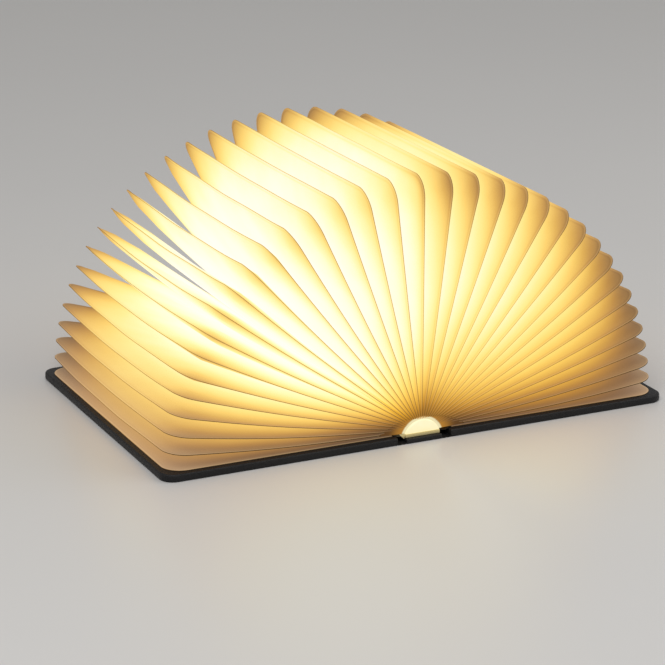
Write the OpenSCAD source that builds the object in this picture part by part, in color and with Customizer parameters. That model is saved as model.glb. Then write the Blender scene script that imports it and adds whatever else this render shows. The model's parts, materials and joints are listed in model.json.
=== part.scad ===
// Folding book lamp, standing open flat on a table.
// X runs across the two covers, Y along the spine, Z up.
// The origin is on the table under the middle of the spine.

/* [Pages] */
// Length of a page along the spine
page_len = 205; // [150:1:240]
// Reach of the upright middle page from the fan's centre
reach_top = 158.3; // [110:0.1:200]
// Reach of the end sheets from the fan's centre
reach_side = 164.8; // [115:0.1:210]
// Radius of a page's two outer corners
page_corner_r = 12.5; // [4:0.5:30]
// Thickness of a closed page pocket pressed flat
page_t = 0.4; // [0.2:0.05:0.5]
// Angle between the middle page and the next one on the left
pitch_left = 6.95; // [5.6:0.05:8]
// Angle between the middle page and the next one on the right
pitch_right = 7.3; // [5.6:0.05:8]

/* [Page folds] */
// Gap between the diffuser and the middle page's inner edge
fold_clearance = 0.8; // [0.7:0.1:0.9]
// How much farther out the inner edges of the lowest pages lie
fold_r_growth = 21.9; // [21:0.1:22.5]
// Offset of the lowest page's pivot from the page
pivot_drop = 5.18; // [5:0.02:5.2]
// Thickness of the accordion webs between the inner edges
web_t = 0.6; // [0.3:0.1:0.9]
// Gap between a web and the two pages that it joins
web_gap = 0.3; // [0.2:0.05:0.4]

/* [Covers] */
// Thickness of the cover boards
board_t = 3.6; // [2.5:0.1:3.6]
// Thickness of the wrap on the outside, the edges and the turned-in rim
wrap_t = 0.6; // [0.4:0.05:0.6]
// Margin of the cover outside the end sheet
cover_margin = 4; // [2:0.5:8]
// Width of the rim that is turned in over the board
turn_in_w = 12; // [8:1:20]
// Radius of the cover's fore-edge corners
cover_corner_r = 9; // [4:0.5:20]
// Width of the bare gutter between the spine and a cover's bend line
gutter_w = 4.9; // [4.6:0.1:6]

/* [Spine] */
// Half width of the spine, up to the bend line of each hinge cloth
hinge_x = 17; // [17:0.1:20.5]
// Thickness of the spine board
spine_board_t = 2.4; // [2:0.1:2.4]
// Thickness of the hinge cloth
cloth_t = 0.6; // [0.4:0.05:0.6]

/* [Light module] */
// Half width of the arched diffuser
diffuser_half_w = 11.4; // [9.5:0.1:11.4]
// Rise of the diffuser's arch above the tray
diffuser_rise = 7.6; // [7.6:0.1:8.4]
// Wall of the diffuser
diffuser_wall = 1.4; // [1:0.1:1.8]
// Length of the light module beyond the pages at each end
module_over = 1; // [0.5:0.5:3]
// Thickness of each end cap
cap_t = 2; // [1.5:0.1:3]
// Floor of the module's tray
tray_floor = 0.8; // [0.6:0.1:0.9]
// Length of the battery cell
cell_len = 104; // [60:1:120]
// Number of light-emitting diodes along the module
led_count = 18; // [8:1:24]
// Radius of the three screws that hold the tray
screw_r = 1; // [0.8:0.1:1.2]

/* [Magnets] */
// Radius of a round magnet
magnet_r = 5; // [3:0.5:6]
// Thickness of a round magnet
magnet_t = 1.5; // [1:0.1:1.8]

/* [Hidden] */
$fn = 48;
eps = 0.01;
seat_gap = 0.1;
// Pages on each side of the middle one; the last of them is the end sheet on the cover
pages_side = 17;
fold_r = seat_gap + diffuser_rise + fold_clearance;
free_pages = pages_side - 1;
page_numbers = [1 : free_pages];

// The fan's centre is at the level of the end sheets' middle plane
slab_t = board_t + 2 * wrap_t;
fan_z = slab_t + page_t / 2;
hinge_z = cloth_t / 2;
// With the covers shut, the pages stand upright at this spacing
shut_pitch = (hinge_x - (fan_z - hinge_z)) / pages_side;

// Angle of page m from the upright: the spacing shrinks evenly towards the covers.
// Side is 1 on the right and -1 on the left, and m counts from the middle page.
function first_pitch(side) = side < 0 ? pitch_left : pitch_right;
function pitch_loss(side) = (first_pitch(side) * pages_side - 90) / (pages_side * pages_side);
function page_angle(side, m) = first_pitch(side) * m - pitch_loss(side) * m * m;
function page_share(m) = m / pages_side;
function fold_reach(m) = fold_r + fold_r_growth * pow(page_share(m), 1.98);
function page_reach(side, m) = reach_top + (reach_side - reach_top) * pow(sin(page_angle(side, m)), 2);

// The line that page m turns about as its cover swings: X from the middle, then height.
// Page m turns by its own angle while the cover turns by 90 degrees.
function shut_x(m) = shut_pitch * m;
function pivot_offset(m) = pivot_drop * pow(page_share(m), 0.45);
function pivot_reach(m, angle) = (shut_x(m) + pivot_offset(m) * (1 - cos(angle))) / sin(angle);
function pivot_at(m, angle) = [
  shut_x(m) + pivot_offset(m),
  fan_z + pivot_reach(m, angle) * cos(angle) - pivot_offset(m) * sin(angle)
];
function page_pivot(side, m) = pivot_at(m, page_angle(side, m));
echo(left_page_pivots = [for (m = page_numbers) page_pivot(-1, m)]);
echo(right_page_pivots = [for (m = page_numbers) page_pivot(1, m)]);

cover_x0 = hinge_x + 0.8;
cover_x1 = reach_side + cover_margin;
cover_len = page_len + 2 * cover_margin;
sheet_x0 = cover_x0 + 2.2;
board_inset = wrap_t + seat_gap;

module_len = page_len + 2 * module_over;
spine_half = hinge_x - gutter_w - cloth_t;
tray_z0 = wrap_t + spine_board_t + seat_gap;
tray_half = diffuser_half_w;
tray_wall = 1.2;
cell_t = 3.9;
cell_z0 = tray_z0 + tray_floor + 0.3;
cell_y0 = -module_len / 2 + cap_t + 6;
bar_leg_w = 1;
bar_t = 1;
bar_z0 = cell_z0 + cell_t + 0.4;
// The arch is part of a circle whose centre lies below the tray's rim
arch_r = (diffuser_half_w * diffuser_half_w + diffuser_rise * diffuser_rise) / (2 * diffuser_rise);
arch_z = fan_z + seat_gap + diffuser_rise - arch_r;
// The bar is as wide as the bore of the diffuser leaves room for at the bar's top
bore_r = arch_r - diffuser_wall;
bar_rise = bar_z0 + bar_t - arch_z;
bar_w = 2 * (sqrt(bore_r * bore_r - bar_rise * bar_rise) - 0.9);
cell_w = bar_w - 2 * bar_leg_w - 0.6;
led_board_w = bar_w * 0.65;
led_board_t = 0.8;
led_board_z0 = bar_z0 + bar_t;
led_w = 3.5;
led_t = 0.7;
strip_len = module_len - 2 * cap_t - 4;
charge_len = 34;
charge_y1 = module_len / 2 - cap_t - 0.3;
charge_z0 = cell_z0;
charge_t = 0.9;
port_w = 8.9;
port_h = 3.2;
port_len = 7.3;
port_wall = 0.3;
port_z = charge_z0 + charge_t + port_h / 2;
port_y0 = module_len / 2 - port_len - 0.4;
// The bar's four legs stand at its near end and just before the socket
leg_len = 6;
leg_ys = [-strip_len / 2, port_y0 - 0.5 - leg_len];
screw_ys = [-module_len * 0.27, module_len * 0.29, module_len * 0.31 + 6];
magnet_x = cover_x1 - wrap_t - 2.4 - magnet_r;
magnet_y = cover_len / 2 - 22;
switch_x = cover_x0 + 14;
paper = [0.96, 0.86, 0.6];
leatherette = [0.06, 0.07, 0.08];

// A block centred on Y, from x0 to x1 and from z0 to z1
module slab_x(x0, x1, len_y, z0, z1) {
  translate([x0, -len_y / 2, z0]) cube([x1 - x0, len_y, z1 - z0]);
}

// Plan of a sheet from x0 to x1 with its two outer corners rounded
module sheet_plan(x0, x1, len_y, corner_r) {
  union() {
    translate([x0, -len_y / 2]) square([x1 - corner_r - x0, len_y]);
    translate([x1 - corner_r - eps, -len_y / 2 + corner_r])
      square([corner_r + eps, len_y - 2 * corner_r]);
    for (side = [-1, 1])
      translate([x1 - corner_r, side * (len_y / 2 - corner_r)]) circle(r = corner_r);
  }
}

// A page in the fan
module fan_page(side, m) {
  color(paper)
    translate([0, 0, fan_z])
      mirror([side < 0 ? 1 : 0, 0, 0])
        rotate([0, page_angle(side, m) - 90, 0])
          translate([0, 0, -page_t / 2])
            linear_extrude(page_t)
              sheet_plan(fold_reach(m), page_reach(side, m), page_len, page_corner_r);
}

module middle_page() {
  fan_page(1, 0);
}

// The accordion webs that join each page's inner edge to the next one's
module page_folds(side) {
  color(paper)
    translate([0, 0, fan_z])
      mirror([side < 0 ? 1 : 0, 0, 0])
        rotate([90, 0, 0])
          translate([0, 0, -page_len / 2])
            linear_extrude(page_len)
              for (m = [1 : pages_side]) fold_web(side, m);
}

// The profile of one web, between page m and the page above it
module fold_web(side, m) {
  r0 = max(fold_reach(m), m == pages_side ? sheet_x0 : 0) + 0.2;
  r1 = r0 + web_t;
  upper = page_angle(side, m - 1);
  lower = page_angle(side, m);
  off = page_t / 2 + web_gap;
  inner_off = asin(off / r0);
  outer_off = asin(off / r1);
  function at(r, a) = [r * sin(a), r * cos(a)];
  polygon([at(r0, upper + inner_off), at(r1, upper + outer_off),
           at(r1, lower - outer_off), at(r0, lower - inner_off)]);
}

module left_page_folds() {
  page_folds(-1);
}

module right_page_folds() {
  page_folds(1);
}

// The end sheet glued on the inside of a cover
module end_sheet(side) {
  color(paper)
    mirror([side < 0 ? 1 : 0, 0, 0])
      translate([0, 0, slab_t])
        linear_extrude(page_t)
          sheet_plan(sheet_x0, reach_side, page_len, page_corner_r);
}

module left_end_sheet() {
  end_sheet(-1);
}

module right_end_sheet() {
  end_sheet(1);
}

// Round magnets let into the fore-edge of a cover board
module magnet_pair(side, grow) {
  for (end = [-1, 1])
    translate([side * magnet_x, end * magnet_y, slab_t - wrap_t - magnet_t - grow])
      cylinder(r = magnet_r + grow, h = magnet_t + grow);
}

module switch_magnet_body(grow) {
  translate([-switch_x, module_len / 2 - 24, slab_t - wrap_t - magnet_t - grow])
    cylinder(r = 3 + grow, h = magnet_t + grow);
}

// The stiff board of a cover, with a raised field inside the turned-in rim
module cover_board(side) {
  difference() {
    mirror([side < 0 ? 1 : 0, 0, 0]) {
      translate([0, 0, wrap_t])
        linear_extrude(board_t)
          sheet_plan(cover_x0 + board_inset, cover_x1 - board_inset,
                     cover_len - 2 * board_inset, cover_corner_r - board_inset);
      translate([0, 0, wrap_t + board_t - eps])
        linear_extrude(wrap_t + eps)
          sheet_plan(cover_x0 + turn_in_w + seat_gap, cover_x1 - turn_in_w - seat_gap,
                     cover_len - 2 * (turn_in_w + seat_gap), 2);
    }
    magnet_pockets(side);
  }
}

// Each magnet lies in a round pocket that the wrap or the raised field closes
module magnet_pockets(side) {
  for (end = [-1, 1])
    translate([side * magnet_x, end * magnet_y, slab_t - wrap_t - magnet_t - seat_gap])
      cylinder(r = magnet_r + seat_gap, h = magnet_t + wrap_t + 1);
  if (side < 0)
    translate([-switch_x, module_len / 2 - 24, slab_t - wrap_t - magnet_t - seat_gap])
      cylinder(r = 3 + seat_gap, h = magnet_t + wrap_t + 1);
}

module left_cover_board() {
  color("tan") cover_board(-1);
}

module right_cover_board() {
  color("tan") cover_board(1);
}

module left_cover_magnets() {
  color("silver") magnet_pair(-1, 0);
}

module right_cover_magnets() {
  color("silver") magnet_pair(1, 0);
}

module switch_magnet() {
  color("silver") switch_magnet_body(0);
}

// The covering: outside skin, edges and a rim turned in over the board
module cover_wrap(side) {
  color(leatherette)
    mirror([side < 0 ? 1 : 0, 0, 0])
      difference() {
        linear_extrude(slab_t)
          sheet_plan(cover_x0, cover_x1, cover_len, cover_corner_r);
        translate([0, 0, wrap_t])
          linear_extrude(board_t)
            sheet_plan(cover_x0 + wrap_t, cover_x1 - wrap_t,
                       cover_len - 2 * wrap_t, cover_corner_r - wrap_t);
        translate([0, 0, wrap_t + board_t - eps])
          linear_extrude(wrap_t + 1)
            sheet_plan(cover_x0 + turn_in_w, cover_x1 - turn_in_w,
                       cover_len - 2 * turn_in_w, 2 + seat_gap);
      }
}

module left_cover_wrap() {
  cover_wrap(-1);
}

module right_cover_wrap() {
  cover_wrap(1);
}

// The flexible strip that carries a cover on the spine
module hinge_cloth(side) {
  color(leatherette)
    mirror([side < 0 ? 1 : 0, 0, 0])
      slab_x(spine_half + wrap_t + seat_gap * 2, hinge_x + 0.4, cover_len, 0, cloth_t);
}

module left_hinge_cloth() {
  hinge_cloth(-1);
}

module right_hinge_cloth() {
  hinge_cloth(1);
}

// The covering under the spine, with its two edges up the board's sides
module spine_wrap() {
  color(leatherette)
    difference() {
      slab_x(-spine_half - wrap_t, spine_half + wrap_t, cover_len, 0, wrap_t + spine_board_t);
      slab_x(-spine_half - seat_gap, spine_half + seat_gap, cover_len - 2 * wrap_t,
             wrap_t, wrap_t + spine_board_t + 1);
    }
}

module spine_board() {
  color("tan")
    difference() {
      slab_x(-spine_half, spine_half, cover_len - 2 * (wrap_t + seat_gap),
             wrap_t, wrap_t + spine_board_t);
      for (y = screw_ys)
        translate([0, y, wrap_t + 0.4]) cylinder(r = screw_r + 0.02, h = spine_board_t);
    }
}

// The channel on the spine that holds the cell and the boards
module module_tray() {
  color("white")
    difference() {
      slab_x(-tray_half, tray_half, module_len, tray_z0, fan_z);
      slab_x(-tray_half + tray_wall, tray_half - tray_wall, module_len - 2 * cap_t,
             tray_z0 + tray_floor, fan_z + 1);
      for (y = screw_ys)
        translate([0, y, tray_z0 - 1]) cylinder(r = screw_r + 0.15, h = 3);
    }
}

module module_screws() {
  color("silver")
    for (y = screw_ys) {
      translate([0, y, tray_z0 + tray_floor]) cylinder(r = screw_r * 1.9, h = 0.25);
      translate([0, y, wrap_t + 0.5]) cylinder(r = screw_r, h = tray_z0 + tray_floor - wrap_t - 0.5 + eps);
    }
}

// The arch over the tray, len_y long, with a bore of radius hole
module arch_block(len_y, hole = 0) {
  translate([0, len_y / 2, arch_z])
    rotate([90, 0, 0])
      linear_extrude(len_y)
        difference() {
          circle(r = arch_r, $fn = 120);
          if (hole > 0) circle(r = hole, $fn = 120);
          translate([-arch_r - 1, -arch_r - 1])
            square([2 * arch_r + 2, arch_r + 1 + fan_z + seat_gap - arch_z]);
        }
}

module diffuser() {
  color([1, 0.97, 0.88])
    arch_block(module_len - 2 * (cap_t + seat_gap), bore_r);
}

module end_cap(end) {
  translate([0, end * (module_len - cap_t) / 2, 0]) arch_block(cap_t);
}

module near_end_cap() {
  color([1, 0.97, 0.88]) end_cap(-1);
}

// The far cap has the mouth of the charging socket
module far_end_cap() {
  color([1, 0.97, 0.88])
    difference() {
      end_cap(1);
      slab_x(-port_w / 2 - 0.2, port_w / 2 + 0.2, module_len + 2, fan_z - 2, port_z + port_h / 2 + 0.2);
    }
}

module battery_cell() {
  color("slateblue")
    translate([0, cell_y0, 0])
      translate([-cell_w / 2, 0, cell_z0]) cube([cell_w, cell_len, cell_t]);
}

// The aluminium strip on the cell that spreads the light source's heat
module led_bar() {
  color("lightgray")
    union() {
      slab_x(-bar_w / 2, bar_w / 2, strip_len, bar_z0, bar_z0 + bar_t);
      for (side = [-1, 1])
        for (y = leg_ys)
          translate([side * (bar_w - bar_leg_w) / 2 - bar_leg_w / 2, y,
                     tray_z0 + tray_floor + seat_gap])
            cube([bar_leg_w, leg_len, bar_z0 - tray_z0 - tray_floor - seat_gap + eps]);
    }
}

module led_board() {
  color("white")
    slab_x(-led_board_w / 2, led_board_w / 2, strip_len, led_board_z0, led_board_z0 + led_board_t);
}

module led_chips() {
  color("gold")
    for (i = [0 : led_count - 1])
      translate([-led_w / 2, (i + 0.5) * strip_len / led_count - strip_len / 2 - led_w / 2,
                 led_board_z0 + led_board_t])
        cube([led_w, led_w, led_t]);
}

module charge_board() {
  color("green")
    translate([-cell_w / 2, charge_y1 - charge_len, charge_z0]) cube([cell_w, charge_len, charge_t]);
}

// The shell of the charging socket, open towards the far end
module charge_socket() {
  color("silver")
    difference() {
      translate([-port_w / 2, port_y0, charge_z0 + charge_t])
        cube([port_w, port_len, port_h]);
      translate([-port_w / 2 + port_wall, port_y0 + 1, charge_z0 + charge_t + port_wall])
        cube([port_w - 2 * port_wall, port_len, port_h - 2 * port_wall]);
    }
  color("black")
    translate([-3.4, port_y0 + 0.9, port_z - 0.35]) cube([6.8, 4.6, 0.7]);
}

// The magnetic switch that lights the lamp when the left cover swings away
module hall_switch() {
  color("black")
    translate([-cell_w / 2 + 1, module_len / 2 - 26, charge_z0 + charge_t]) cube([4, 3, 1.5]);
}

spine_wrap();
spine_board();
module_tray();
diffuser();
near_end_cap();
far_end_cap();
battery_cell();
led_bar();
led_board();
led_chips();
charge_board();
charge_socket();
hall_switch();
module_screws();
middle_page();
left_page_folds();
right_page_folds();
left_hinge_cloth();
right_hinge_cloth();
left_cover_board();
left_cover_wrap();
left_end_sheet();
left_cover_magnets();
switch_magnet();
right_cover_board();
right_cover_wrap();
right_end_sheet();
right_cover_magnets();
for (m = page_numbers) fan_page(-1, m);
for (m = page_numbers) fan_page(1, m);
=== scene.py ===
"""Folding book lamp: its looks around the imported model, laid out as an add-on."""

import json
import math
import random

import bmesh
import bpy
from bpy.props import FloatProperty, FloatVectorProperty, PointerProperty
from mathutils import Matrix, Vector


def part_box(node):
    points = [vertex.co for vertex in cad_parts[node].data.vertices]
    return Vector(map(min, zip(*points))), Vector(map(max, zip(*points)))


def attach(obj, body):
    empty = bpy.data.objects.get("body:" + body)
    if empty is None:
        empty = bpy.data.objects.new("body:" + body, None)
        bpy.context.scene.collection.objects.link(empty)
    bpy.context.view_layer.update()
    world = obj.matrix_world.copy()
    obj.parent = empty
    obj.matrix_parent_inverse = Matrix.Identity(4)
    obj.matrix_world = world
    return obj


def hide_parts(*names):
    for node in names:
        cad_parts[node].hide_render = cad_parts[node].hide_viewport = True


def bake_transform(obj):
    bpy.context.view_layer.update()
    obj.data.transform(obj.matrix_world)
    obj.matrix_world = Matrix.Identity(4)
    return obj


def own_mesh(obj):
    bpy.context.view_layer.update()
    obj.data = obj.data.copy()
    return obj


bl_info = {
    "name": "Folding Book Lamp",
    "version": (1, 0, 0),
    "blender": (4, 5, 0),
    "location": "View3D > Sidebar > Book Lamp",
    "description": "Builds the pages, covers and light module of a folding book lamp",
    "category": "Add Mesh",
}

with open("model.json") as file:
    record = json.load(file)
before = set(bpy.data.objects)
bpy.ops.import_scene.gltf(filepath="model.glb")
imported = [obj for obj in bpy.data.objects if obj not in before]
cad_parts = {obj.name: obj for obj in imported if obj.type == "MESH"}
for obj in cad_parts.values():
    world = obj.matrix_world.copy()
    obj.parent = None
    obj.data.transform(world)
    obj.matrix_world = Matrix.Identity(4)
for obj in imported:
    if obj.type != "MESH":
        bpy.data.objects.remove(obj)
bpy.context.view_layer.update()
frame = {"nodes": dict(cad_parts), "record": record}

MM = 0.001
SIDES = {"left": -1, "right": 1}
PAGES_SIDE = 17


# Sizes read from the frame, in millimetres

def node_box(node):
    """Lowest and highest corners of a CAD node in millimetres."""
    low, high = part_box(node)
    return low / MM, high / MM


SHEET_LOW, SHEET_HIGH = node_box("right_end_sheet")
TOP_PAGE = node_box("middle_page")[1]
FAN_Z = (SHEET_LOW.z + SHEET_HIGH.z) / 2
PAGE_HALF = SHEET_HIGH.y
REACH_SIDE = SHEET_HIGH.x
REACH_TOP = TOP_PAGE.z - FAN_Z
FOLD_R = node_box("middle_page")[0].z - FAN_Z
SHEET_X0 = SHEET_LOW.x
CORNER_R = 12.5

# How far the pages' inner edges move out from the upright page to the covers
FOLD_GROWTH = 21.9
FOLD_POWER = 1.98

# The light's arch is part of a circle whose centre lies below its base
CAP_LOW, CAP_HIGH = node_box("near_end_cap")
ARCH_RISE = CAP_HIGH.z - CAP_LOW.z
ARCH_R = (CAP_HIGH.x ** 2 + ARCH_RISE ** 2) / (2 * ARCH_RISE)
ARCH_Z = CAP_HIGH.z - ARCH_R


def page_angles():
    """Angle from the upright of each page's plane, in degrees, by side: middle page first, end sheet last."""
    ratios = {c["joint"]: c["ratio"] for c in frame["record"]["behaviour"]["couplings"]}
    return {
        side: [0.0] + [90 * ratios[f"{side}_page_{m}_fold"] for m in range(1, PAGES_SIDE)] + [90.0]
        for side in SIDES
    }


ANGLES = page_angles()


def fold_reach(m):
    """Distance of page m's inner edge from the fan's centre."""
    return FOLD_R + FOLD_GROWTH * (m / PAGES_SIDE) ** FOLD_POWER


def arch_reach(angle):
    """Distance of the light's arch from the fan's centre, at an angle in degrees from the upright."""
    turn, drop = math.radians(angle), FAN_Z - ARCH_Z
    return math.sqrt(ARCH_R ** 2 - (drop * math.sin(turn)) ** 2) - drop * math.cos(turn)


def page_reach(angle):
    """Distance of a page's outer edge from the fan's centre."""
    return REACH_TOP + (REACH_SIDE - REACH_TOP) * math.sin(math.radians(angle)) ** 2


# Mesh helpers

def finish_piece(name, bm, materials, smooth=True):
    """Turns a bmesh into an object with its materials. Sizes are in millimetres up to here."""
    bmesh.ops.scale(bm, vec=(MM, MM, MM), verts=bm.verts)
    bmesh.ops.recalc_face_normals(bm, faces=bm.faces)
    for face in bm.faces:
        face.smooth = smooth
    mesh = bpy.data.meshes.new(name)
    bm.to_mesh(mesh)
    bm.free()
    piece = bpy.data.objects.new(name, mesh)
    bpy.context.scene.collection.objects.link(piece)
    for material in materials:
        mesh.materials.append(bpy.data.materials[material])
    return piece


def closed_sheet(columns, rows, place):
    """A grid drawn out to two layers; place(i, j, layer) puts each point, and side faces get slot 1."""
    bm = bmesh.new()
    bmesh.ops.create_grid(bm, x_segments=columns, y_segments=rows, size=1.0)
    x0, x1 = min(v.co.x for v in bm.verts), max(v.co.x for v in bm.verts)
    y0, y1 = min(v.co.y for v in bm.verts), max(v.co.y for v in bm.verts)
    drawn = bmesh.ops.extrude_face_region(bm, geom=bm.faces[:])["geom"]
    upper = {v for v in drawn if isinstance(v, bmesh.types.BMVert)}
    for face in bm.faces:
        count = sum(v in upper for v in face.verts)
        if 0 < count < len(face.verts):
            face.material_index = 1
    for edge in bm.edges:
        slots = {face.material_index for face in edge.link_faces}
        edge.smooth = len(slots) == 1
    for v in bm.verts:
        i = round((v.co.x - x0) / (x1 - x0) * columns)
        j = round((v.co.y - y0) / (y1 - y0) * rows)
        v.co = place(i, j, 1 if v in upper else -1)
    return bm


def both_ends(offsets, length, middle_steps):
    """Positions from 0 to length: the given offsets at both ends and even steps between."""
    last = offsets[-1]
    middle = [last + (length - 2 * last) * k / middle_steps for k in range(1, middle_steps)]
    return offsets + middle + [length - o for o in reversed(offsets)]


def rim_distance(du, dv, radius):
    """Distance inward from an outline with a rounded corner, from the distances to its two sides."""
    if du < radius and dv < radius:
        return radius - math.hypot(radius - du, radius - dv)
    return min(du, dv)


def page_axes(side, angle):
    """Directions of a page: outward from the fan's centre, and square to the page, towards the middle."""
    turn = math.radians(angle)
    sign = SIDES[side]
    outward = Vector((sign * math.sin(turn), 0, math.cos(turn)))
    square = Vector((-sign * math.cos(turn), 0, math.sin(turn)))
    return outward, square


# Rows and columns of a page lie closer together at its rim, its fold and its round corners
ROW_OFFSETS = [0, 0.4, 0.9, 1.4, 2.2, 3.6, 5.6, 8.5, 12.5, 18, 26]
COLUMN_OFFSETS = [0, 0.8, 1.8, 3.2, 6, 11, 19]
COLUMN_STEPS = 9
ROW_STEPS = 9
CORNER_TURNS = [0, 12, 24, 35, 45, 54, 62, 69, 75, 80, 85, 90]


def column_places(inner, outer):
    """Distances of a page's columns from the fan's centre, close together at its fold and its rim."""
    start = [inner + offset for offset in COLUMN_OFFSETS]
    straight = outer - CORNER_R
    middle = [start[-1] + (straight - start[-1]) * k / COLUMN_STEPS for k in range(1, COLUMN_STEPS)]
    bend = [straight + CORNER_R * math.sin(math.radians(turn)) for turn in CORNER_TURNS]
    return start + middle + bend


def half_length(u, outer, half):
    """Half length of a page at distance u, shortened where its corners are round."""
    into = max(0.0, u - (outer - CORNER_R))
    return half - (CORNER_R - math.sqrt(max(0.0, CORNER_R ** 2 - into ** 2)))


# Half thickness of a page as a share of the gap to its neighbour: the most it may be, and at its mouth
WEDGE_FILL = 0.465
MOUTH_FILL = 0.2
# How far a low page sags between its ends, the share of its depth where that is full, and its waves
BELLY = 2.6
BELLY_FULL = 0.4
WAVES = 2.4


def page_pocket(side, m, sizes, shape, half=0):
    """The mesh of one page: two thin sheets joined in a flat rim and swelling apart inside it.

    With half 1 or -1 it is only the part on that side of the page's plane.
    """
    angle = ANGLES[side][m]
    inner, outer = fold_reach(m), page_reach(angle)
    columns = column_places(inner, outer)
    rows = both_ends(ROW_OFFSETS, 2 * PAGE_HALF, ROW_STEPS)
    outward, square = page_axes(side, angle)
    gap = math.radians(min(abs(angle - ANGLES[side][k]) for k in (m - 1, m + 1) if 0 <= k <= PAGES_SIDE))
    bow, twist, wave = shape
    mouth_half = MOUTH_FILL * inner * gap

    def place(i, j, layer):
        u = columns[i]
        v = rows[j] / PAGE_HALF - 1
        y = v * half_length(u, outer, PAGE_HALF)
        inset = rim_distance(outer - u, PAGE_HALF - abs(y), CORNER_R)
        room = WEDGE_FILL * u * gap
        # About the smaller of the two, with a soft change from one to the other
        swell = (room ** -4 + sizes.swell ** -4) ** -0.25
        depth = max(0.0, inset - sizes.rim)
        thick = sizes.weld + (swell - sizes.weld) * (1 - math.exp(-depth / sizes.swell_start))
        mouth = mouth_half * max(0.0, 1 - (u - inner) / sizes.mouth)
        share = (u - inner) / (outer - inner)
        centre = math.sin(math.pi * share) * bow + share * twist * v
        centre += share * wave * math.sin(WAVES * math.pi * v + m)
        centre -= BELLY * math.sin(math.radians(angle)) * min(1.0, share / BELLY_FULL) * (1 - v * v)
        offset = layer * max(thick, mouth) if layer * half >= 0 else 0.0
        return Vector((0, y, FAN_Z)) + outward * u + square * (centre + offset)

    return closed_sheet(len(columns) - 1, len(rows) - 1, place)


# Shader helpers

def srgb(red, green, blue):
    """A colour given in 0-255 display values, as linear RGBA."""
    def linear(value):
        value /= 255
        return value / 12.92 if value <= 0.04045 else ((value + 0.055) / 1.055) ** 2.4
    return (linear(red), linear(green), linear(blue), 1.0)


class Value:
    """A number socket that adds its Math nodes when it is used in an expression."""

    def __init__(self, paint, socket):
        self.paint = paint
        self.socket = socket

    def math(self, operation, *others):
        return self.paint.node("ShaderNodeMath", {"operation": operation}, [self, *others])

    def __add__(self, other):
        return self.math("ADD", other)

    def __mul__(self, other):
        return self.math("MULTIPLY", other)

    def __sub__(self, other):
        return self.math("SUBTRACT", other)

    def __rsub__(self, other):
        return self.paint.node("ShaderNodeMath", {"operation": "SUBTRACT"}, [other, self])

    def __truediv__(self, other):
        return self.math("DIVIDE", other)

    def __pow__(self, other):
        return self.math("POWER", other)

    def __neg__(self):
        return self * -1

    __radd__ = __add__
    __rmul__ = __mul__

    def exp(self):
        return self.math("EXPONENT")

    def at_least(self, other):
        return self.math("MAXIMUM", other)

    def at_most(self, other):
        return self.math("MINIMUM", other)

    def root(self):
        return self.math("SQRT")

    def fade(self, length):
        """1 at zero, and smaller by a factor e for each length."""
        return (self * (-1 / length)).exp()

    def ramp_up(self, low, high):
        """0 below low and 1 above high, smooth between."""
        settings = {"interpolation_type": "SMOOTHSTEP"}
        sockets = {"Value": self, "From Min": low, "From Max": high}
        return self.paint.node("ShaderNodeMapRange", settings, sockets)


class Paint:
    """One procedural material and its node tree."""

    def __init__(self, name):
        self.material = bpy.data.materials.new(name)
        self.material.use_nodes = True
        self.tree = self.material.node_tree
        self.tree.nodes.clear()

    def node(self, kind, settings=None, sockets=None, output=0):
        """Adds a node: its settings first, then the values or links of its sockets."""
        made = self.tree.nodes.new(kind)
        for key, value in (settings or {}).items():
            if key == "stops":
                self.set_stops(made.color_ramp, value)
            else:
                setattr(made, key, value)
        pairs = sockets.items() if isinstance(sockets, dict) else enumerate(sockets or [])
        for key, value in pairs:
            if isinstance(value, Value):
                self.tree.links.new(value.socket, made.inputs[key])
            else:
                made.inputs[key].default_value = value
        return Value(self, made.outputs[output]) if made.outputs else None

    @staticmethod
    def set_stops(ramp, stops):
        while len(ramp.elements) > 1:
            ramp.elements.remove(ramp.elements[-1])
        ramp.elements[0].position, ramp.elements[0].color = stops[0]
        for position, colour in stops[1:]:
            ramp.elements.new(position).color = colour

    def place(self):
        """The point's place at rest, in millimetres."""
        point = self.node("ShaderNodeTexCoord", output=3)
        return self.node("ShaderNodeVectorMath", {"operation": "SCALE"}, {"Vector": point, "Scale": 1 / MM})

    def axis(self, vector, index):
        return self.node("ShaderNodeSeparateXYZ", sockets=[vector], output=index)

    def noise(self, vector, scale, detail=3.0, roughness=0.5):
        sockets = {"Vector": vector, "Scale": scale, "Detail": detail, "Roughness": roughness}
        return self.node("ShaderNodeTexNoise", sockets=sockets)

    def mix(self, factor, first, second, blend="MIX"):
        """Colour mix of first and second by factor."""
        made = self.tree.nodes.new("ShaderNodeMix")
        made.data_type = "RGBA"
        made.blend_type = blend
        for index, value in ((0, factor), (6, first), (7, second)):
            if isinstance(value, Value):
                self.tree.links.new(value.socket, made.inputs[index])
            else:
                made.inputs[index].default_value = value
        return Value(self, made.outputs[2])

    def bump(self, height, strength, distance):
        sockets = {"Height": height, "Strength": strength, "Distance": distance}
        return self.node("ShaderNodeBump", sockets=sockets)

    def finish(self, **sockets):
        """The shader and the output; the names are the shader's sockets with _ for a space."""
        values = {key.replace("_", " "): value for key, value in sockets.items()}
        shader = self.node("ShaderNodeBsdfPrincipled", sockets=values)
        self.node("ShaderNodeOutputMaterial", sockets={"Surface": shader})
        return self.material


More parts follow.
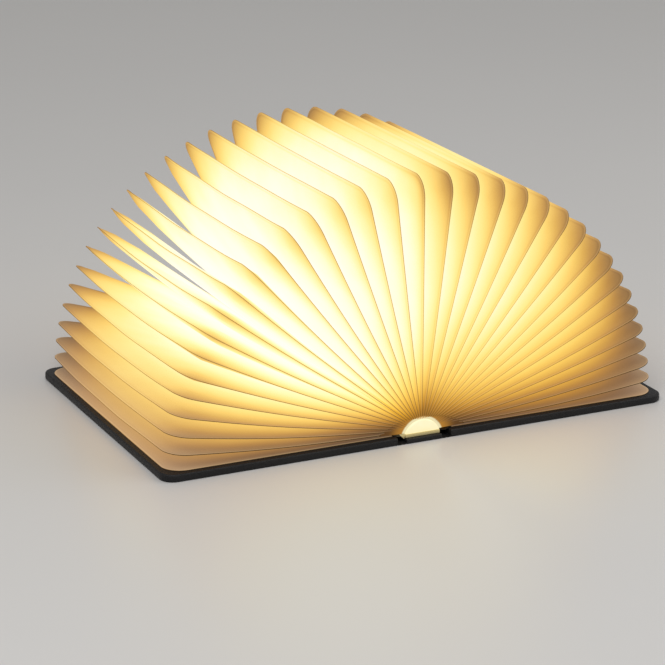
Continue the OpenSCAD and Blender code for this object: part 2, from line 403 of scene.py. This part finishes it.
# The paper's colour from its darkest to its brightest glow
GLOW_STOPS = [
    (0.05, srgb(24, 15, 8)),
    (0.13, srgb(50, 33, 17)),
    (0.25, srgb(92, 64, 33)),
    (0.37, srgb(132, 98, 56)),
    (0.49, srgb(174, 132, 69)),
    (0.61, srgb(212, 170, 86)),
    (0.73, srgb(243, 207, 112)),
    (0.79, srgb(250, 224, 132)),
    (0.85, srgb(252, 238, 156)),
    (0.91, srgb(253, 249, 192)),
    (0.96, srgb(254, 252, 232)),
    (1.0, srgb(255, 254, 250)),
]


def fan_place(paint):
    """Where a point lies in the fan: distances in millimetres, and lean, 0 upright and 1 at the covers."""
    place = paint.place()
    x, y, z = (paint.axis(place, index) for index in range(3))
    rise = z - FAN_Z
    reach = (x * x + rise * rise).root().at_least(1.0)
    upright = (rise / reach).at_least(0.0)
    outer = REACH_TOP + (REACH_SIDE - REACH_TOP) * (1 - upright * upright)
    return {
        "place": place,
        "reach": reach,
        "lean": 1 - upright,
        "left": 1 - x.ramp_up(-2, 2),
        "from_arch": (x * x + (z - ARCH_Z) * (z - ARCH_Z)).root() - ARCH_R,
        "from_rim": (outer - reach).at_least(0.0),
        "from_near": (y + PAGE_HALF).at_least(0.0),
        "from_far": (PAGE_HALF - y).at_least(0.0),
    }


# Distance from the fan's centre at which the paper's glow starts to count
GLOW_START = 12


def lamp_glow(at):
    """How brightly the paper glows, from 0 to 1: dimmer at its rims, by the fold and low in the fan."""
    lean, left, depth = at["lean"], at["left"], at["reach"] - GLOW_START
    near, far, rim = at["from_near"], at["from_far"], at["from_rim"]
    right = 1 - left
    # The two ends of the spine
    strength = 1.9 - 0.72 * near.fade(35) - 1.84 * far.fade(35)
    strength = strength - near.fade(7) * (0.18 - 0.12 * lean - 0.18 * right)
    strength = strength + 0.31 * right - (0.2 + 0.32 * right) * near.fade(11)
    # The outer rim, and the fold by the light
    strength = strength - rim.fade(45) * (1.14 - 0.3 * lean) + 0.12 * rim.fade(10)
    strength = strength - 0.66 * depth.fade(14) - 0.84 * depth.fade(45)
    # Low in the fan
    by_ends = 0.15 + (0.7 + 0.5 * left) * near.fade(6)
    strength = strength + 0.34 * lean - 1.72 * lean ** 2 - lean ** 6 * by_ends
    strength = strength - 0.75 * lean ** 3 * depth.fade(22)
    # The left half against the right, which is shaded at its rim
    strength = strength + left * (0.26 - 0.04 * lean)
    strength = strength - right * (0.15 - 0.15 * lean.ramp_up(0.4, 0.8) + 0.14 * rim.fade(40))
    strength = strength - right * rim.fade(15) * (0.8 * near.fade(30) + 1.1 * lean)
    return 1 - (-strength.exp()).exp()


def deep_light(at):
    """Where light has passed through more paper, near the spine and low on the right, and is deeper gold."""
    low = (1 - at["left"]) * at["lean"] ** 2 * (1 - at["from_rim"].fade(20))
    return ((at["reach"] - GLOW_START).fade(18) + 0.8 * low).at_most(1.0)


def paper_material():
    paint = Paint("page_paper")
    at = fan_place(paint)
    glow = lamp_glow(at)
    cloud = paint.noise(at["place"], 0.035, 2.0)
    fibre = paint.noise(at["place"], 1.3, 5.0, 0.62)
    side_inset = at["from_near"].at_most(at["from_far"])
    corner_u = (CORNER_R - at["from_rim"]).at_least(0.0)
    corner_v = (CORNER_R - side_inset).at_least(0.0)
    inset = CORNER_R - (corner_u * corner_u + corner_v * corner_v).root()
    rim = 1 - inset.ramp_up(0.7, 1.5)
    # Painted shade: a thin darker line in the glow just inside the joined rim
    painted_crease_shade = inset.ramp_up(1.1, 1.7) * (1 - inset.ramp_up(1.7, 3.0))
    shade = glow + 0.05 * (cloud - 0.5) + 0.035 * (fibre - 0.5) - 0.035 * painted_crease_shade
    colour = paint.node("ShaderNodeValToRGB", {"stops": GLOW_STOPS}, [shade])
    deep = deep_light(at)
    colour = paint.mix(deep * 0.9, colour, srgb(255, 238, 128), "MULTIPLY")
    # Painted light: low in the fan, near the outer rim and the near end, the glow turns a pale greyish pink
    pale_glow = at["lean"] ** 4 * (at["from_rim"].fade(22) + 0.5 * at["from_near"].fade(8))
    colour = paint.mix(0.6 * pale_glow, colour, srgb(184, 156, 130))
    lit = paint.mix(0.12 * rim, colour, srgb(200, 172, 128))
    lit = paint.mix(1 - at["from_arch"].ramp_up(0.4, 1.8), lit, srgb(252, 245, 198))
    base = paint.mix(fibre, srgb(112, 88, 50), srgb(128, 102, 62))
    base = paint.mix(0.4 * rim, base, srgb(142, 122, 90))
    base = paint.mix(deep, base, srgb(106, 70, 18))
    normal = paint.bump(fibre + 0.4 * cloud, 0.25, 0.0002)
    return paint.finish(
        Base_Color=base, Roughness=0.72, Emission_Color=lit, Emission_Strength=0.9,
        Specular_IOR_Level=0.25, Normal=normal,
    )


def paper_edge_material():
    paint = Paint("page_edge")
    at = fan_place(paint)
    glow = lamp_glow(at)
    grain = paint.noise(at["place"], 2.2, 3.0)
    mouth = 1 - at["from_arch"].ramp_up(1.0, 3.0)
    # Painted shade: the pages' cut edges glow less than their faces, more so on the left, and have a darker
    # base colour, standing in for the shade in the gaps between pages; near the light's arch they glow amber,
    # painted light
    shade = glow * (0.9 - 0.14 * at["left"]) + 0.05 * (grain - 0.5)
    colour = paint.node("ShaderNodeValToRGB", {"stops": GLOW_STOPS}, [shade])
    colour = paint.mix(deep_light(at) * 0.9, colour, srgb(255, 236, 118), "MULTIPLY")
    lit = paint.mix(mouth, colour, srgb(222, 164, 78))
    base = paint.mix(grain, srgb(64, 50, 22), srgb(78, 62, 30))
    return paint.finish(
        Base_Color=base, Roughness=0.8, Emission_Color=lit, Emission_Strength=0.88, Specular_IOR_Level=0.2,
    )


def fold_end_material():
    paint = Paint("fold_ends")
    at = fan_place(paint)
    grain = paint.noise(at["place"], 0.9, 4.0)
    mouth = 1 - at["from_arch"].ramp_up(1.5, 2.6)
    # Painted light: the fold ends glow near-white at the light's arch and amber close to it, fading to dark
    # brown, painted shade, further from it
    arch_glow = 1 - at["from_arch"].ramp_up(1.4, 12)
    lit = paint.mix(arch_glow, srgb(84, 54, 22), srgb(186, 128, 44))
    lit = paint.mix(mouth, lit, srgb(252, 244, 196))
    base = paint.mix(grain, srgb(70, 48, 26), srgb(88, 64, 36))
    return paint.finish(
        Base_Color=base, Roughness=0.85, Emission_Color=lit, Emission_Strength=0.8, Specular_IOR_Level=0.2,
    )


def leatherette_material():
    paint = Paint("black_leatherette")
    place = paint.place()
    warp = paint.noise(place, 0.5, 2.0)
    cells = paint.node(
        "ShaderNodeTexVoronoi", {"feature": "DISTANCE_TO_EDGE"}, {"Vector": place, "Scale": 1.05}
    )
    wrinkle = paint.noise(place, 1.8, 4.0, 0.6)
    pebble = cells.ramp_up(0.0, 0.22) * 0.8 + wrinkle * 0.35
    wear = paint.noise(place, 0.06, 3.0)
    colour = paint.mix(pebble, srgb(5, 5, 6), srgb(16, 16, 19))
    colour = paint.mix(wear * 0.25, colour, srgb(22, 23, 27))
    rough = 0.62 - 0.2 * pebble + 0.12 * (warp - 0.5)
    return paint.finish(
        Base_Color=colour, Roughness=rough, Specular_IOR_Level=0.35, Normal=paint.bump(pebble, 0.5, 0.0003),
    )


def opal_material():
    paint = Paint("opal_diffuser")
    place = paint.place()
    cloud = paint.noise(place, 0.25, 2.0)
    y = paint.axis(place, 1)
    inset = (PAGE_HALF - y.math("ABSOLUTE")).at_least(-1.0)
    low = 1 - paint.axis(place, 2).ramp_up(FAN_Z - 1, FAN_Z + 6)
    shade = 0.4 * cloud + 0.25 * inset.fade(10) + 0.3 * low
    lit = paint.mix(shade, srgb(252, 249, 218), srgb(250, 232, 170))
    return paint.finish(
        Base_Color=srgb(122, 116, 98), Roughness=0.38, Emission_Color=lit, Emission_Strength=0.9,
        Specular_IOR_Level=0.4, Normal=paint.bump(cloud, 0.1, 0.0003),
    )


def tray_material():
    paint = Paint("tray_plastic")
    place = paint.place()
    grain = paint.noise(place, 2.5, 3.0)
    z = paint.axis(place, 2)
    # Painted light: the tray glows, brighter towards its top by the light
    lit = paint.mix(z.ramp_up(3.0, 5.2), srgb(82, 70, 34), srgb(176, 158, 96))
    base = paint.mix(grain, srgb(168, 154, 112), srgb(190, 176, 132))
    return paint.finish(
        Base_Color=base, Roughness=0.55, Emission_Color=lit, Emission_Strength=0.5,
        Normal=paint.bump(grain, 0.15, 0.0001),
    )


def plain_material(name, low, high, roughness, metallic=0.0, scale=1.5):
    """A material for an inner part: two close tones in fine noise, and a slight texture."""
    paint = Paint(name)
    place = paint.place()
    grain = paint.noise(place, scale, 3.0)
    return paint.finish(
        Base_Color=paint.mix(grain, srgb(*low), srgb(*high)), Roughness=roughness + 0.1 * (grain - 0.5),
        Metallic=metallic, Normal=paint.bump(grain, 0.15, 0.0001),
    )


def floor_material(colour):
    paint = Paint("studio_floor")
    cloud = paint.noise(paint.place(), 0.004, 3.0)
    tone = paint.mix(cloud, (*[c * 0.97 for c in colour], 1.0), (*colour, 1.0))
    return paint.finish(Base_Color=tone, Roughness=0.32, Specular_IOR_Level=0.4)


# Two tones, roughness and metallic of the inner parts' materials
INNER_FINISHES = {
    "board_core": ((132, 108, 78), (156, 132, 100), 0.85, 0.0),
    "screw_steel": ((150, 150, 154), (182, 182, 186), 0.32, 1.0),
    "bar_aluminium": ((176, 178, 182), (202, 204, 208), 0.38, 1.0),
    "circuit_green": ((18, 84, 46), (26, 104, 58), 0.5, 0.0),
    "circuit_white": ((220, 218, 210), (238, 236, 228), 0.5, 0.0),
    "chip_phosphor": ((232, 188, 60), (246, 206, 84), 0.35, 0.0),
    "cell_film": ((52, 78, 140), (66, 94, 160), 0.3, 0.0),
    "switch_black": ((16, 16, 17), (26, 26, 28), 0.5, 0.0),
}

INNER_NODES = {
    "spine_board": "board_core", "left_cover_board": "board_core", "right_cover_board": "board_core",
    "module_screws": "screw_steel", "charge_socket": "screw_steel", "left_cover_magnets": "screw_steel",
    "right_cover_magnets": "screw_steel", "switch_magnet": "screw_steel", "led_bar": "bar_aluminium",
    "charge_board": "circuit_green", "led_board": "circuit_white", "led_chips": "chip_phosphor",
    "battery_cell": "cell_film", "hall_switch": "switch_black", "diffuser": "opal_diffuser",
    "far_end_cap": "opal_diffuser", "module_tray": "tray_plastic",
}


# Settings

class BOOKLAMP_sizes(bpy.types.PropertyGroup):
    """Sizes of the soft pieces, in millimetres."""

    weld: FloatProperty(
        name="Rim thickness", description="Half thickness of a page's joined rim", default=0.24,
    )
    rim: FloatProperty(
        name="Rim width", description="Width of a page's joined rim", default=1.3,
    )
    swell: FloatProperty(
        name="Swell", description="How far a page's sheets may swell from its plane", default=7.5,
    )
    swell_start: FloatProperty(
        name="Swell start", description="How gently the swelling starts", default=19.0,
    )
    mouth: FloatProperty(
        name="Mouth", description="Length of a page's open end by the light", default=2.8,
    )
    cover_edge: FloatProperty(
        name="Cover edge", description="Radius of the covers' wrapped edges", default=1.1,
    )


class BOOKLAMP_looks(bpy.types.PropertyGroup):
    """Colours and light of the stage."""

    floor: FloatVectorProperty(
        name="Floor", description="Colour of the floor", subtype="COLOR", default=(0.62, 0.61, 0.6),
        min=0, max=1,
    )
    world: FloatProperty(
        name="World", description="Strength of the even light", default=0.42,
    )
    key: FloatProperty(
        name="Key light", description="Power of the large lamp", default=16.0, unit="POWER",
    )
    lens: FloatProperty(
        name="Lens", description="Focal length on a 36 mm sensor, in millimetres", default=147.9,
        unit="CAMERA",
    )


def sizes():
    return bpy.context.scene.booklamp_sizes


# Operators

class BOOKLAMP_OT_finishes(bpy.types.Operator):
    """Make every material and give the inner parts theirs"""

    bl_idname = "booklamp.finishes"
    bl_label = "Finishes"

    def execute(self, context):
        paper_material()
        paper_edge_material()
        fold_end_material()
        leatherette_material()
        opal_material()
        tray_material()
        for name, finish in INNER_FINISHES.items():
            plain_material(name, *finish)
        for node, material in INNER_NODES.items():
            mesh = frame["nodes"][node].data
            mesh.materials.clear()
            mesh.materials.append(bpy.data.materials[material])
        return {"FINISHED"}


# A page's bow at the covers, and how far its bow, twist and wave differ from page to page
PAGE_SAG = 1.9
BOW_VARIES = 0.3
TWIST_VARIES = 0.3
WAVE_VARIES = 0.2
SEED = 11


class BOOKLAMP_OT_pages(bpy.types.Operator):
    """Make the thirty-three free pages"""

    bl_idname = "booklamp.pages"
    bl_label = "Pages"

    def execute(self, context):
        rng = random.Random(SEED)
        for side, m in [("right", 0)] + [(s, k) for s in SIDES for k in range(1, PAGES_SIDE)]:
            sag = PAGE_SAG * math.sin(math.radians(ANGLES[side][m]))
            bow, twist, wave = (rng.uniform(-most, most) for most in (BOW_VARIES, TWIST_VARIES, WAVE_VARIES))
            node = f"{side}_page_{m}" if m else "middle_page"
            body = node if m else "base"
            outward, square = page_axes(side, ANGLES[side][m])
            # The upright page is made in two halves, one on each side of its plane, both fixed to the base
            parts = [(0, side, "")] if m else [(1, "left", "_left"), (-1, "right", "_right")]
            for half, hinge, ending in parts:
                bm = page_pocket(side, m, sizes(), (bow - sag, twist, wave), half)
                page = finish_piece(f"{node}_pocket{ending}", bm, ["page_paper", "page_edge"])
                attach(page, body)
                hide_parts(node)
                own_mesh(page)
        return {"FINISHED"}


# Height of the slight waves in an end sheet, and how steeply they turn across and along it
RIPPLE = 0.1
RIPPLE_ACROSS = 0.07
RIPPLE_ALONG = 0.05


class BOOKLAMP_OT_end_sheets(bpy.types.Operator):
    """Make the sheets glued inside the covers"""

    bl_idname = "booklamp.end_sheets"
    bl_label = "End sheets"

    def execute(self, context):
        for side, sign in SIDES.items():
            low, high = node_box(f"{side}_end_sheet")
            columns = column_places(SHEET_X0, REACH_SIDE)
            rows = both_ends(ROW_OFFSETS, 2 * PAGE_HALF, ROW_STEPS)

            def place(i, j, layer):
                half = half_length(columns[i], REACH_SIDE, PAGE_HALF)
                y = (rows[j] / PAGE_HALF - 1) * half
                lift = RIPPLE * math.sin(columns[i] * RIPPLE_ACROSS) * math.sin(rows[j] * RIPPLE_ALONG)
                level = high.z + max(0.0, lift) if layer > 0 else low.z
                return Vector((sign * columns[i], y, level))

            bm = closed_sheet(len(columns) - 1, len(rows) - 1, place)
            sheet = finish_piece(f"{side}_end_leaf", bm, ["page_paper", "page_edge"])
            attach(sheet, f"{side}_cover")
            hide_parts(f"{side}_end_sheet")
        return {"FINISHED"}


# The bundle of folds: its room over the light's arch, its lift, its inset from the pages' ends, its rows
# along the spine, and the angles of its first and last edge
BUNDLE_ROOM = 0.15
BUNDLE_LIFT = 0.1
BUNDLE_INSET = 0.4
BUNDLE_OFFSETS = [0, 1, 3, 8]
BUNDLE_STEPS = 6
BUNDLE_ANGLES = (0.5, 88.3)
# How far a fin stays short of its page's fold, and half its thickness
FIN_SHORT = 0.2
FIN_HALF = 0.3
# Height of the valleys over the arch, for the pages before this one and for the rest
DEEP_PAGES = 10
VALLEY_TOP = 2.0
VALLEY_SIDE = 0.75
# Low down the valleys fill up: where in the count of pages that starts, over how many, and to how far past
# the folds
FILL_START = 12.5
FILL_PAGES = 4
FILL_RISE = 0.4
# The loose flap of paper: its corners as x and z, how far it stands before the pages, thickness and edge
FLAP_CORNERS = [(-10.9, 5.3), (-15.6, 5.6), (-12.3, 2.3)]
FLAP_AHEAD = 0.35
FLAP_THICK = 0.3
FLAP_EDGE = 0.1


class BOOKLAMP_OT_folds(bpy.types.Operator):
    """Make the glued inner folds that carry the pages round the light"""

    bl_idname = "booklamp.folds"
    bl_label = "Inner folds"

    def execute(self, context):
        rows = both_ends(BUNDLE_OFFSETS, 2 * (PAGE_HALF - BUNDLE_INSET), BUNDLE_STEPS)
        for side, sign in SIDES.items():
            points = self.profile(ANGLES[side])

            def place(i, j, layer):
                angle, outer = points[i]
                reach = outer if layer > 0 else arch_reach(angle) + BUNDLE_ROOM
                turn = math.radians(angle)
                y = rows[j] - PAGE_HALF + BUNDLE_INSET
                z = FAN_Z + BUNDLE_LIFT + reach * math.cos(turn)
                return Vector((sign * reach * math.sin(turn), y, z))

            bm = closed_sheet(len(points) - 1, len(rows) - 1, place)
            folds = finish_piece(f"{side}_fold_bundle", bm, ["page_paper", "fold_ends"], smooth=False)
            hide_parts(f"{side}_page_folds")
            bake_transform(folds)
        self.flap()
        return {"FINISHED"}

    @staticmethod
    def flap():
        """The small loose corner of paper at the left foot of the arch."""
        bm = bmesh.new()
        bmesh.ops.create_circle(bm, cap_ends=True, segments=3, radius=1.0)
        for v, (x, z) in zip(bm.verts[:], FLAP_CORNERS):
            v.co = (x, -PAGE_HALF - FLAP_AHEAD, z)
        drawn = bmesh.ops.extrude_face_region(bm, geom=bm.faces[:])["geom"]
        moved = [v for v in drawn if isinstance(v, bmesh.types.BMVert)]
        bmesh.ops.translate(bm, vec=(0, FLAP_THICK, 0), verts=moved)
        bmesh.ops.bevel(bm, geom=bm.edges[:], offset=FLAP_EDGE, offset_type="OFFSET", affect="EDGES",
                        segments=2, profile=0.5, material=-1)
        flap = finish_piece("paper_flap", bm, ["tray_plastic"], smooth=False)
        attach(flap, "base")

    @staticmethod
    def profile(angles):
        """Angle and outer reach round the bundle: a fin to each page, and valleys that fill up low down."""
        points = [(BUNDLE_ANGLES[0], FOLD_R - FIN_SHORT)]
        for m in range(1, PAGES_SIDE + 1):
            middle = (angles[m - 1] + angles[m]) / 2
            low = min(1.0, max(0.0, (m - FILL_START) / FILL_PAGES))
            valley = arch_reach(middle) + (VALLEY_TOP if m < DEEP_PAGES else VALLEY_SIDE)
            filled = (fold_reach(m - 1) + fold_reach(m)) / 2 + FILL_RISE
            points.append((middle, max(valley, valley + (filled - valley) * low)))
            if m < PAGES_SIDE:
                reach = fold_reach(m) - FIN_SHORT
                half = math.degrees(FIN_HALF / reach)
                points += [(angles[m] - half, reach), (angles[m] + half, reach)]
        return points + [(BUNDLE_ANGLES[1], SHEET_X0)]


# Rows of a strip along the spine, and the even steps between its ends
STRIP_OFFSETS = [0, 0.5, 2, 8]
STRIP_STEPS = 8


def strip_piece(name, side, path, thickness, half):
    """A thin black strip along the spine: path gives its cross-section from the spine to the cover."""
    sign = SIDES[side]
    rows = both_ends(STRIP_OFFSETS, 2 * half, STRIP_STEPS)

    def place(i, j, layer):
        before, after = path[max(i - 1, 0)], path[min(i + 1, len(path) - 1)]
        along = Vector((after[0] - before[0], 0, after[1] - before[1])).normalized()
        square = Vector((-along.z, 0, along.x))
        point = Vector((path[i][0], 0, path[i][1])) + square * (layer * thickness / 2)
        return Vector((sign * point.x, rows[j] - half, point.z))

    return finish_piece(name, closed_sheet(len(path) - 1, len(rows) - 1, place), ["black_leatherette"] * 2)


# A hinge strip: its span in x, the steps across it, its lowest level, the height of its ridges at both
# sides and in the middle, its thickness, and how far it ends before its node
HINGE_SPAN = (12.15, 17.95)
HINGE_STEPS = 14
HINGE_LEVEL = 0.32
HINGE_RIDGE = 0.3
HINGE_THICK = 0.5
HINGE_INSET = 0.3
# The lining over a hinge strip: its thickness, how far it runs past the pages, and its path as x and z
# from the spine to the cover
LINER_THICK = 0.3
LINER_PAST = 0.2
GUTTER_PATH = [(11.55, 4.5), (11.9, 4.62), (12.7, 4.5), (13.6, 4.2), (14.6, 4.0), (15.6, 4.05), (16.6, 4.35),
               (17.5, 4.75), (18.4, 5.02), (19.6, 5.05)]


class BOOKLAMP_OT_hinges(bpy.types.Operator):
    """Make the bending strips between the spine and the covers"""

    bl_idname = "booklamp.hinges"
    bl_label = "Hinge strips"

    def execute(self, context):
        half = node_box("left_hinge_cloth")[1].y - HINGE_INSET
        for side, sign in SIDES.items():
            x0, x1 = HINGE_SPAN
            path = []
            for k in range(HINGE_STEPS + 1):
                share = k / HINGE_STEPS
                ridge = HINGE_RIDGE * math.cos(2 * math.pi * share) ** 2
                path.append((x0 + (x1 - x0) * share, HINGE_LEVEL + ridge))
            cloth = strip_piece(f"{side}_hinge_strip", side, path, HINGE_THICK, half)
            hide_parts(f"{side}_hinge_cloth")
            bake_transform(cloth)
            liner_half = PAGE_HALF + LINER_PAST
            liner = strip_piece(f"{side}_gutter_liner", side, GUTTER_PATH, LINER_THICK, liner_half)
            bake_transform(liner)
        return {"FINISHED"}


# Corner radii of a cover, at its fore edge and by the spine, and of the spine's covering
FORE_CORNER = 9.0
INNER_CORNER = 1.2
SPINE_CORNER = 1.0
# The radius of the spine's other edges, and how far its covering is higher than its node
SPINE_EDGE = 0.8
SPINE_OVER = 0.04
# How far in from the fore edge a cover's inner corners are looked for
INNER_SEARCH = 60


def wrapped_board(name, low, high, corners, edge):
    """A board's covering: a slab with rounded upright corners and softly rounded edges.

    Each of corners is a radius and a test on x that picks the upright edges that get it.
    """
    bm = bmesh.new()
    bmesh.ops.create_cube(bm, size=1.0)
    bmesh.ops.scale(bm, vec=high - low, verts=bm.verts)
    bmesh.ops.translate(bm, vec=(low + high) / 2, verts=bm.verts)
    for radius, test in corners:
        uprights = [
            e for e in bm.edges
            if abs(e.verts[0].co.z - e.verts[1].co.z) > 0.5 and test(e.verts[0].co.x)
        ]
        bmesh.ops.bevel(bm, geom=uprights, offset=radius, offset_type="OFFSET", affect="EDGES", segments=10,
                        profile=0.5, material=-1)
    flat = [e for e in bm.edges if abs(e.verts[0].co.z - e.verts[1].co.z) < 1e-4
            and len({round(f.normal.z) for f in e.link_faces}) == 2]
    bmesh.ops.bevel(bm, geom=flat, offset=edge, offset_type="OFFSET", affect="EDGES", segments=4, profile=0.5,
                    material=-1)
    return finish_piece(name, bm, ["black_leatherette"])


class BOOKLAMP_OT_covers(bpy.types.Operator):
    """Make the coverings of the two covers and the spine"""

    bl_idname = "booklamp.covers"
    bl_label = "Covers"

    def execute(self, context):
        edge = sizes().cover_edge
        for side, sign in SIDES.items():
            low, high = node_box(f"{side}_cover_wrap")
            fore = max(abs(low.x), abs(high.x))
            corners = [
                (FORE_CORNER, lambda x: abs(x) > fore - 0.5),
                (INNER_CORNER, lambda x: abs(x) < fore - INNER_SEARCH),
            ]
            skin = wrapped_board(f"{side}_cover_skin", low, high, corners, edge)
            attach(skin, f"{side}_cover")
            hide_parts(f"{side}_cover_wrap")
        low, high = node_box("spine_wrap")
        high.z += SPINE_OVER
        skin = wrapped_board("spine_skin", low, high, [(SPINE_CORNER, lambda x: True)], SPINE_EDGE)
        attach(skin, "base")
        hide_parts("spine_wrap")
        return {"FINISHED"}


# Segments of the full circle that the light's near end is cut from, and the radius of its front edge
LENS_SEGMENTS = 144
LENS_EDGE = 0.5


class BOOKLAMP_OT_light(bpy.types.Operator):
    """Make the near end of the arched light"""

    bl_idname = "booklamp.light"
    bl_label = "Light end"

    def execute(self, context):
        low, high = CAP_LOW, CAP_HIGH
        bm = bmesh.new()
        bmesh.ops.create_circle(bm, cap_ends=True, segments=LENS_SEGMENTS, radius=ARCH_R)
        everything = bm.verts[:] + bm.edges[:] + bm.faces[:]
        bmesh.ops.bisect_plane(bm, geom=everything, plane_co=(0, low.z - ARCH_Z, 0), plane_no=(0, 1, 0),
                               clear_inner=True)
        turn = Matrix.Rotation(math.radians(90), 4, "X")
        bmesh.ops.transform(bm, matrix=Matrix.Translation((0, low.y, ARCH_Z)) @ turn, verts=bm.verts)
        drawn = bmesh.ops.extrude_face_region(bm, geom=bm.faces[:])["geom"]
        moved = [v for v in drawn if isinstance(v, bmesh.types.BMVert)]
        bmesh.ops.translate(bm, vec=(0, high.y - low.y, 0), verts=moved)
        near = [e for e in bm.edges if all(abs(v.co.y - low.y) < 1e-4 for v in e.verts)]
        bmesh.ops.bevel(bm, geom=near, offset=LENS_EDGE, offset_type="OFFSET", affect="EDGES", segments=3,
                        profile=0.5, material=-1)
        cap = finish_piece("near_end_lens", bm, ["opal_diffuser"], smooth=False)
        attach(cap, "base")
        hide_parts("near_end_cap")
        return {"FINISHED"}


# Half the floor's side, in millimetres
FLOOR_HALF = 4000
# The lamps: name, place and size in metres, and power as a share of the key light's
LAMPS = [
    ("key_light", (-0.7, -0.9, 1.5), 1.2, 1.0),
    ("fill_light", (1.1, -0.5, 1.1), 1.4, 0.4),
]
LIT_PLACE = (0, 0, 0.05)
# The photograph's camera, in degrees and millimetres
CAMERA_YAW = 25.209
CAMERA_PITCH = 18.126
CAMERA_PLACE = (-708.49, -1480.57, 574.88)


class BOOKLAMP_OT_stage(bpy.types.Operator):
    """Make the floor, the lights and the camera"""

    bl_idname = "booklamp.stage"
    bl_label = "Stage"

    def execute(self, context):
        looks = context.scene.booklamp_looks
        bm = bmesh.new()
        bmesh.ops.create_grid(bm, x_segments=1, y_segments=1, size=FLOOR_HALF)
        floor_material(looks.floor)
        floor = finish_piece("studio_floor", bm, ["studio_floor"])
        world = bpy.data.worlds.new("studio")
        world.use_nodes = True
        background = world.node_tree.nodes["Background"]
        background.inputs["Color"].default_value = (1.0, 0.99, 0.97, 1.0)
        background.inputs["Strength"].default_value = looks.world
        context.scene.world = world
        for name, place, size, share in LAMPS:
            data = bpy.data.lights.new(name, "AREA")
            data.shape = "DISK"
            data.size = size
            data.energy = looks.key * share
            lamp = bpy.data.objects.new(name, data)
            lamp.matrix_world = self.aimed(Vector(place), Vector(LIT_PLACE))
            context.scene.collection.objects.link(lamp)
        self.camera(context, looks.lens)
        context.scene.view_settings.view_transform = "Standard"
        return {"FINISHED"}

    @staticmethod
    def aimed(place, target):
        turn = (target - place).to_track_quat("-Z", "Y")
        return Matrix.Translation(place) @ turn.to_matrix().to_4x4()

    @staticmethod
    def camera(context, lens):
        """The photograph's camera, to the left of the lamp and above it, with no roll."""
        yaw, pitch = math.radians(CAMERA_YAW), math.radians(CAMERA_PITCH)
        ahead = Vector((math.sin(yaw) * math.cos(pitch), math.cos(yaw) * math.cos(pitch), -math.sin(pitch)))
        right = Vector((math.cos(yaw), -math.sin(yaw), 0))
        up = right.cross(ahead)
        data = bpy.data.cameras.new("photo_camera")
        data.lens = lens
        data.sensor_width = 36
        data.clip_end = 20
        camera = bpy.data.objects.new("photo_camera", data)
        turn = Matrix((right, up, -ahead)).transposed().to_4x4()
        camera.matrix_world = Matrix.Translation(Vector(CAMERA_PLACE) * MM) @ turn
        context.scene.collection.objects.link(camera)
        context.scene.camera = camera


OPERATORS = [
    BOOKLAMP_OT_finishes, BOOKLAMP_OT_pages, BOOKLAMP_OT_end_sheets, BOOKLAMP_OT_folds, BOOKLAMP_OT_hinges,
    BOOKLAMP_OT_covers, BOOKLAMP_OT_light, BOOKLAMP_OT_stage,
]


class BOOKLAMP_PT_panel(bpy.types.Panel):
    """The lamp's pieces and sizes"""

    bl_idname = "BOOKLAMP_PT_panel"
    bl_label = "Book Lamp"
    bl_space_type = "VIEW_3D"
    bl_region_type = "UI"
    bl_category = "Book Lamp"

    def draw(self, context):
        for settings in (context.scene.booklamp_sizes, context.scene.booklamp_looks):
            for name in settings.bl_rna.properties.keys():
                if name not in ("rna_type", "name"):
                    self.layout.prop(settings, name)
        for operator in OPERATORS:
            self.layout.operator(operator.bl_idname)


CLASSES = [BOOKLAMP_sizes, BOOKLAMP_looks, *OPERATORS, BOOKLAMP_PT_panel]


def register():
    for cls in CLASSES:
        bpy.utils.register_class(cls)
    bpy.types.Scene.booklamp_sizes = PointerProperty(type=BOOKLAMP_sizes)
    bpy.types.Scene.booklamp_looks = PointerProperty(type=BOOKLAMP_looks)


def unregister():
    del bpy.types.Scene.booklamp_looks
    del bpy.types.Scene.booklamp_sizes
    for cls in reversed(CLASSES):
        bpy.utils.unregister_class(cls)


def main():
    register()
    for operator in OPERATORS:
        group, name = operator.bl_idname.split(".")
        getattr(getattr(bpy.ops, group), name)()


if __name__ == "__main__":
    main()
